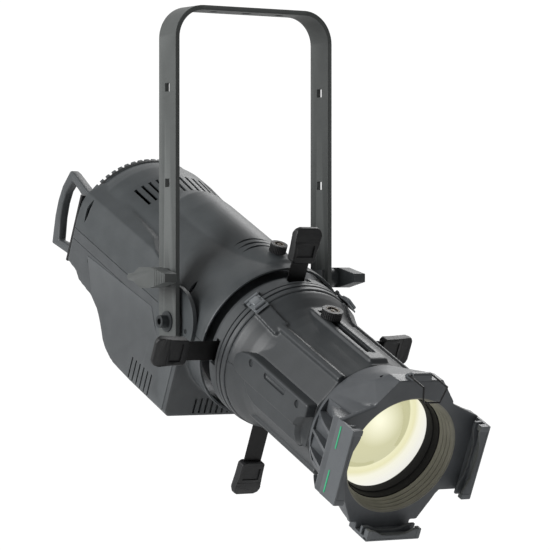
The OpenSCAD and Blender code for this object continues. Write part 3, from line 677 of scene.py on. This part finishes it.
def barrel_form():
    """Cone and faceted tube with a raised frame round the focus slot."""
    cone = turned("cone", [(112, 0), (112, 95), (117, 94.6), (126, 91), (138, 85), (150, 81.4), (165, 79.6),
                           (291, 79.2), (293, 78.4), (293, 0)], 128)
    half = [(-14, 80), (-50, 64.4), (-51.5, 67.4), (-54, 67.4), (-58.5, 63), (-58.5, 60.5), (-57, 58.6),
            (-76, 30), (-79, 24), (-79, -24), (-76, -30), (-57, -58.6), (-58.5, -60.5), (-58.5, -63),
            (-54, -67.4), (-51.5, -67.4), (-50, -64.4), (-14, -80)]
    outline = half + [(-y, z) for y, z in reversed(half)]
    tube = slab("tube", outline, 138, 291, "X")
    rail = slab("rail", [(132, 60), (140, 84.6), (282, 84.6), (287, 80), (287, 60)], -13.5, 13.5)
    soften(rail, 2, 2, 30)
    strips = [move(slab("strip", [(113, 70), (113, 97), (122, 95.6), (136, 90), (153, 84.2), (156, 70)],
                        -10.5, 10.5), round_axis(turn)) for turn in CATCH_TURNS]
    return cone, tube, rail, *strips


barrel = cast("barrel_casting", 1.35, 2, *barrel_form())
bore = turned("bore", [(111, 0), (111, 90), (150, 76.5), (300, 76.5), (300, 0)], 96)
carve(barrel, bore)
slot = brick("slot", 153, 260, -3.8, 3.8, 60, 100)
groove = brick("groove", 148, 266, -6.5, 6.5, 82.6, 100)
carve(barrel, slot, groove)
for part, limits in (("upper", (0.25, 200)), ("lower", (-200, -0.25))):
    half = copy_of(barrel, "barrel_" + part + "_half", upright)
    edit(half)
    bpy.ops.mesh.bisect(plane_co=(0, 0, limits[0 if part == "upper" else 1] * MM), plane_no=(0, 0, 1),
                        clear_inner=part == "upper", clear_outer=part == "lower", use_fill=True)
    done(half)
    settle(smooth(half, 40), "barrel", barrel_paint_shaded, ["barrel_" + part])
bpy.data.objects.remove(barrel)


# Screw wells of a side cover
WELL_Z = 19.0
WELL_XS = (158, 268)


def side_cover():
    """Raised cover on the far side: long boss with a rounded nose, screw wells, slot and scooped front."""
    nose = [(118, 1), (119, 9), (124, 16), (132, 22), (146, 26.5), (160, 28), (290, 28), (290, -8),
            (262, -8), (160, -8), (146, -7.5), (132, -6), (122, -4)]
    boss = slab("boss", nose, 70, 92)
    soften(boss, 2.5, 3, 40)
    foot = slab("foot", [(140, 4), (150, 14), (290, 14), (290, -29), (175, -29), (158, -24), (146, -14)],
                66, 87)
    soften(foot, 3, 3, 40)
    cover = cast("cover", 1.1, 2, boss, foot)
    bore = rod("bore", 78, (100, 0, 0), (320, 0, 0), 96)
    carve(cover, bore)
    for x in WELL_XS:
        carve(cover, rod("well", 5, (x, 88, WELL_Z), (x, 100, WELL_Z), 32))
    slot = brick("slot", 190, 240, 88.4, 96, WELL_Z - 4, WELL_Z + 4)
    carve(cover, soften(slot, 3.4, 4, 60))
    carve(cover, rod("scoop", 21, (291, 79.5, -9), (291, 100, -9), 48))
    return smooth(cover, 40)


cover = side_cover()
near_cover = copy_of(cover, "side_cover_near", flip_side)
settle(near_cover, "barrel", barrel_paint_shaded, ["barrel_cover_near"])
cover.name = "side_cover_far"
settle(cover, "barrel", barrel_paint_shaded, ["barrel_cover_far"])


def catch():
    """Over-centre catch drawn on top: bent strap on a rolled eye, raised tongue and a curled hook."""
    strap = slab("strap", [(EYE_X, 98.6), (EYE_X, 100.4), (118, 101), (120, 98.6), (117, 98.9)], -10, 10)
    tongue = slab("tongue", [(95, 100.3), (97, 104.6), (108, 106.3), (112, 104.4), (112, 100.3)], -5.6, 5.6)
    soften(strap, 0.6, 2, 30)
    soften(tongue, 1.4, 3, 30)
    eye = rod("eye", 2.15, (EYE_X, -10, EYE_Z), (EYE_X, 10, EYE_Z), 32)
    carve(eye, rod("bore", 1.26, (EYE_X, -12, EYE_Z), (EYE_X, 12, EYE_Z), 32))
    hook = rod("hook", 2.4, (114, -8, 103), (114, 8, 103), 24)
    soften(hook, 0.5, 2, 40)
    rivets = [rod("rivet", 1.6, (100, s * 7.8, 100), (100, s * 7.8, 101.9), 20) for s in (-1, 1)]
    return smooth(join("catch", strap, tongue, eye, hook, *rivets), 35)


strap = catch()
for name, turn in zip(("near", "far"), CATCH_TURNS):
    settle(copy_of(strap, "catch_strap_" + name, upright), "catch_" + name, blasted_metal,
           ["latch_" + name], hang @ round_axis(turn))
bpy.data.objects.remove(strap)

# ------------------------------------------------------------------ knobs

# Place along the axis, foot and width of the two knobs
LOCK_KNOB = (28, 109.4, 22)
FOCUS_KNOB = (170, 85.2, 26)

def knob(name, x, z0, d, stud_r, stud_low):
    """Knurled knob with a dish in its top for the cap, on its stud."""
    grip = rod("grip", d / 2, (x, 0, z0), (x, 0, z0 + 11), 72)
    flutes = [rod("flute", 1.1, (x + d / 2 * math.cos(a) + 0.3 * math.cos(a), d / 2 * math.sin(a), z0 - 1),
                  (x + d / 2 * math.cos(a) + 0.3 * math.cos(a), d / 2 * math.sin(a), z0 + 9.4), 12)
              for a in [2 * math.pi * k / 30 for k in range(30)]]
    carve(grip, join("flutes", *flutes), rod("dish", d / 2 - 4.2, (x, 0, z0 + 9.2), (x, 0, z0 + 14), 48))
    soften(grip, 0.5, 2, 40)
    grip.name = name
    stud = rod("stud", stud_r, (x, 0, stud_low), (x, 0, z0 + 4), 32)
    return smooth(join(name, grip, stud))


def knob_cap(name, x, z0, d):
    """Bright ring let into a knob's dish, round the head of its socket screw."""
    ring = rod("ring", d / 2 - 4.5, (x, 0, z0 + 9.1), (x, 0, z0 + 11), 48)
    carve(ring, rod("hole", d / 2 - 5.7, (x, 0, z0 + 8), (x, 0, z0 + 13), 48))
    head = rod("head", 2.4, (x, 0, z0 + 9.1), (x, 0, z0 + 10.4), 24)
    carve(head, rod("socket", 1.5, (x, 0, z0 + 9.6), (x, 0, z0 + 14), 6))
    return smooth(join(name, soften(ring, 0.4, 2, 40), head), 40)


settle(knob("lock_knob", *LOCK_KNOB, 2.95, 89), "barrel_lock", black_nylon,
       ["barrel_lock_knob"])
settle(knob_cap("lock_knob_cap", *LOCK_KNOB), "barrel_lock", turned_steel)
settle(knob("focus_grip", *FOCUS_KNOB, 2.95, 73), "focus", black_nylon, ["focus_knob"])
settle(knob_cap("focus_grip_cap", *FOCUS_KNOB), "focus", turned_steel)

# ------------------------------------------------------------------ lens tube, lenses and mouth

# Places along the axis: the round collar, the back and front of the square plate, the lips of the channels
COLLAR, PLATE, FACE, FRONT = 293.6, 364.0, 371.0, 397.0
# Sprung wire: half its thickness, and the line that it turns on
WIRE_R = 1.15
PIN_X, PIN_Z = 367, 104


def hulled(name, rings):
    """A faceted form stretched over rings of corners, as (x, y, z)."""
    corners = [c for ring in rings for c in ring]
    let_go()
    bpy.ops.mesh.primitive_circle_add(vertices=len(corners), radius=MM)
    piece = bpy.context.active_object
    piece.name = name
    for corner, spot in zip(piece.data.vertices, corners):
        corner.co = Vector(spot) * MM
    edit(piece)
    bpy.ops.mesh.delete(type="EDGE_FACE")
    bpy.ops.mesh.select_all(action="SELECT")
    bpy.ops.mesh.convex_hull()
    done(piece)
    return right_way_out(piece)


def ring_of(x, r, count=48, first=0.0, last=360.0):
    steps = count if last - first >= 360 else count + 1
    return [(x, -r * math.sin(math.radians(first + (last - first) * k / count)),
             r * math.cos(math.radians(first + (last - first) * k / count))) for k in range(steps)]


def channel():
    """Frame channel on the near side: wall, wavy middle lip, wavy front lip with blocks at its ends."""
    wall = brick("wall", PLATE, FRONT, -100, -95.65, -49, 49)
    lips = []
    for x0, x1, deep, mid in ((380, 384, -86.2, -92.5), (393, FRONT, -86.2, -92.8)):
        wave = [(-98.4, -48.6), (deep, -48.6), (deep, -39), (deep - 1.2, -34), (mid + 1, -22), (mid, -10),
                (mid, 10), (mid + 1, 22), (deep - 1.2, 34), (deep, 39), (deep, 48.6), (-98.4, 48.6)]
        lips.append(slab("lip", wave, x0, x1, "X"))
    blocks = [brick("block", 389.6, FRONT + 0.6, -99, -85.6, s * 49 - (7 if s > 0 else 0),
                    s * 49 + (0 if s > 0 else 7))
              for s in (-1, 1)]
    return [soften(part, 0.9, 2, 30) for part in [wall, *lips, *blocks]]


def holder_parts():
    parts = [turned("collar", [(COLLAR, 0), (COLLAR, 81.4), (COLLAR + 0.8, 82), (306, 82.6), (346, 85.5),
                               (PLATE, 86), (FACE, 86), (FACE, 0)], 128)]
    # facets from the round collar to the square front: top block, then the two lower corners
    parts.append(hulled("top", [ring_of(296, 82, 24, -58, 58), ring_of(342, 84, 12, -50, 50),
                                [(340, -44, 86), (340, 44, 86), (350, -32, 98), (350, 32, 98),
                                 (FACE, -32, 99), (FACE, 32, 99), (FACE, -56, 70), (FACE, 56, 70),
                                 (352, -56, 68), (352, 56, 68)]]))
    parts.append(hulled("bottom", [ring_of(298, 82, 24, 122, 238),
                                   [(350, -46, -86), (350, 46, -86), (FACE, -49, -87), (FACE, 49, -87),
                                    (FACE, -66, -56), (FACE, 66, -56), (346, -60, -58), (346, 60, -58)]]))
    face = slab("face", [(-100, 49), (-58, 66), (-32, 99), (32, 99), (58, 66), (100, 49), (100, -49),
                         (68, -47), (49, -67), (49, -88), (-49, -88), (-49, -67), (-68, -47),
                         (-100, -49)], PLATE, FACE, "X")
    parts.append(soften(face, 1.2, 2, 30))
    for s in (-1, 1):
        round_end = ring_of(298, 82, 20, 60 if s < 0 else 240, 120 if s < 0 else 300)
        parts.append(hulled("side", [round_end, [(x, s * 99.5, z) for x in (354, FACE) for z in (-49, 49)],
                                     [(FACE, s * 70, z) for z in (-49, 49)]]))
    parts.append(brick("web", PLATE - 6, FACE, -39, 39, -99.5, -84))
    return parts


def holder_trim():
    """The three channels and the block that the wire turns in."""
    near = channel()
    trim = [copy_of(p, "far_" + p.name, flip_side) for p in near]
    under = round_axis(90) @ Matrix.Scale(0.79, 4, (0, 0, 1))
    trim += [copy_of(p, "bottom_" + p.name, under) for p in near]
    block = slab("block", [(352, 92), (FACE - 0.2, 92), (FACE - 0.2, 106), (FACE - 2, 107.6), (365, 107.6),
                           (356, 101)], -14, 14)
    carve(block, rod("pin_hole", 1.35, (PIN_X, -20, PIN_Z), (PIN_X, 20, PIN_Z), 24))
    trim.append(soften(block, 0.8, 2, 30))
    return trim + near


def side_pockets():
    """Deep pockets between the fins on both sides, down to the round collar."""
    cutters = []
    for z0, z1, deep in ((25, 45, 71), (2, 21, 79), (-21, -2, 79), (-45, -25, 71)):
        for s in (-1, 1):
            cutters.append(slab("pocket", [(299.5, s * deep), (352, s * (deep + 4)), (352, s * 104),
                                           (299.5, s * 104)], z0, z1, "Z"))
    return join("pockets", *cutters)


holder = cast("frame_holder", 1.1, 1, *holder_parts())
carve(holder, side_pockets())
carve(holder, turned("bore", [(COLLAR - 2, 0), (COLLAR - 2, 76), (FRONT + 4, 76), (FRONT + 4, 0)], 128))
carve(holder, move(rod("hole", 2.4, (342, 0, 70), (342, 0, 110), 24), round_axis(22)))
holder = join("frame_holder", smooth(holder, 40), *holder_trim())
settle(holder, "tube", holder_paint_lit, ["gel_holder"])

knee, end = (398.3, 17, PIN_Z), (398.3, 12, 84.2)
wires = [rod("wire", WIRE_R, (PIN_X, -18, PIN_Z), (PIN_X, 18, PIN_Z), 20),
         rod("wire", WIRE_R, (end[0], -end[1], end[2]), end, 20)]
for s in (-1, 1):
    bent = [(PIN_X, s * 17, PIN_Z), (knee[0], s * knee[1], knee[2]), (end[0], s * end[1], end[2])]
    wires += [rod("wire", WIRE_R, bent[0], bent[1], 20), rod("wire", WIRE_R, bent[1], bent[2], 20)]
settle(smooth(join("wire_clip", *wires)), "frame_clip", black_steel, ["gel_clip"])

dark = turned("mouth_dark_ring", [(326, 76), (326, 64.2), (327, 63.8), (338, 65), (338.6, 66.4),
                                  (347.4, 67.4), (348, 68.6), (348, 76), (326, 76)], 128)
settle(smooth(dark, 30), "tube", flock)
stations = [(348.1, 76), (348.1, 68.8)]
x, r = 348.9, 69.6
for k in range(4):
    stations += [(x, r - 0.7), (x + 0.5, r - 1.1), (x + 4.2, r - 0.1), (x + 4.8, r + 0.5),
                 (x + 4.9, r + 1.5)]
    x, r = x + 5.4, r + 1.42
stations += [(FACE, 75.4), (FACE, 76), (348.1, 76)]
mouth = turned("mouth_rings", stations, 128)
settle(smooth(mouth, 30), "tube", mouth_paint, ["mouth_baffle"])


def dome(name, crown, radius, flat, edge):
    """Flat-backed lens: crown is the x of its front, radius its curve, flat the x of its back."""
    rim_x = crown - radius + math.sqrt(radius ** 2 - edge ** 2)
    front = []
    for k in range(15):
        a = math.asin(edge / radius) * (1 - k / 14)
        front.append((crown - radius + radius * math.cos(a), radius * math.sin(a)))
    glass = turned(name, [(flat, 0), (flat, edge - 0.6), (flat + 0.6, edge)] + [(rim_x, edge)] + front, 96)
    return smooth(glass, 30)


front_glass = lit_glass("front_lens_glass", 1.0, (332, -16, 28), (330, -36, 30), 66)
rear_glass = lit_glass("rear_lens_glass", 1.0, (240, 0, 0), (240, 0, 0), 80)
settle(dome("front_glass", 338, 150, 312, 67.9), "tube", front_glass, ["front_lens"])

# ------------------------------------------------------------------ colour mark

marks = [brick("dash", 372, 374.2, -100.5, -99.8, z0, z1) for z0, z1 in ((-43, -14), (14, 43))]
settle(join("mark_dashes", *marks), "tube", green_print, ["label_strip"])

# ------------------------------------------------------------------ finishes of the CAD pieces that stay

stays = {
    fibre: ["friction_washers"],
    plated_steel: ["brake_plates", "lock_stud_near", "lock_stud_far", "data_sockets", "safety_eye",
                   "gate_plates", "shutter_separators"],
    dark_steel: ["pivot_bolts", "pivot_washers", "side_screws", "cover_screws", "latch_pins"],
    bronze: ["pivot_bushes"],
    black_nylon: ["rear_panel", "fan_frame", "fan_rotor"],
    tinted_window: ["display_window"],
    grey_key: ["menu_button_1", "menu_button_2", "menu_button_3", "menu_button_4"],
    blue_nylon: ["power_sockets"],
    bare_aluminium: ["heat_sink", "collimator", "power_supply", "front_bearing"],
    phosphor: ["led_engine"],
    black_steel: ["shutter_blade_top", "shutter_blade_near", "shutter_blade_bottom", "shutter_blade_far"],
    anodised: ["lens_tube", "lens_cell"],
    rear_glass: ["rear_lens"],
}
for material, nodes in stays.items():
    for node in nodes:
        paint(frame["nodes"][node], material)

# ------------------------------------------------------------------ floor, light and camera

FLOOR_Z, FLOOR_R = -1.6, 8.4
floor_paint = finish("floor_pale", "f4f4f4", "f7f7f7", 0.9, grain=2.0, depth=0.02, blotch=900)
let_go()
bpy.ops.mesh.primitive_circle_add(vertices=128, radius=FLOOR_R, fill_type="NGON", location=(0, 0, FLOOR_Z))
floor = bpy.context.active_object
floor.name = "floor"
paint(floor, floor_paint)

# A room that is white on the side behind the lamp and dim on the side in front of it
TO_BRIGHT_SIDE = (-0.834, 0.552, 0.0)
world = bpy.data.worlds.new("studio")
bpy.context.scene.world = world
world.use_nodes = True
room = world.node_tree
way_in = add(room, "ShaderNodeTexCoord").outputs["Generated"]
toward = add(room, "ShaderNodeVectorMath", [("Vector", way_in)], operation="DOT_PRODUCT")
toward.inputs[1].default_value = TO_BRIGHT_SIDE
glow = add(room, "ShaderNodeMapRange", [("Value", toward.outputs["Value"])],
           interpolation_type="SMOOTHSTEP", From_Min=0.1, From_Max=0.95, To_Min=0.27, To_Max=1.05)
room.nodes["Background"].inputs["Color"].default_value = (1, 1, 1, 1)
room.links.new(room.nodes["Background"].inputs["Strength"], glow.outputs["Result"])
bpy.context.scene.view_settings.view_transform = "Standard"


def softbox(name, place, aim, size, power):
    light = bpy.data.lights.new(name, "AREA")
    light.shape = "RECTANGLE"
    light.size, light.size_y = size
    light.energy = power
    lamp = bpy.data.objects.new(name, light)
    bpy.context.scene.collection.objects.link(lamp)
    lamp.location = place
    lamp.rotation_euler = (Vector(aim) - Vector(place)).to_track_quat("-Z", "Y").to_euler()
    return lamp


softbox("key_softbox", (-0.3, -3.0, 0.7), (0, 0, -0.4), (1.8, 1.8), 95)
softbox("rim_softbox", (-1.5, 2.2, 2.0), (0, 0, -0.3), (1.2, 1.2), 30)

# A long lens, level, from the near side in front of the lamp
LENS_MM = 196.3
CAMERA_PLACE = (3.2144, -2.0838, -0.33975)
CAMERA_HEADING = 56.5
camera = bpy.data.objects.new("camera", bpy.data.cameras.new("camera"))
bpy.context.scene.collection.objects.link(camera)
camera.data.lens = LENS_MM
camera.data.sensor_width = 36
camera.data.clip_end = 100
camera.location = CAMERA_PLACE
camera.rotation_euler = (math.radians(90), 0, math.radians(CAMERA_HEADING))
bpy.context.scene.camera = camera

let_go()
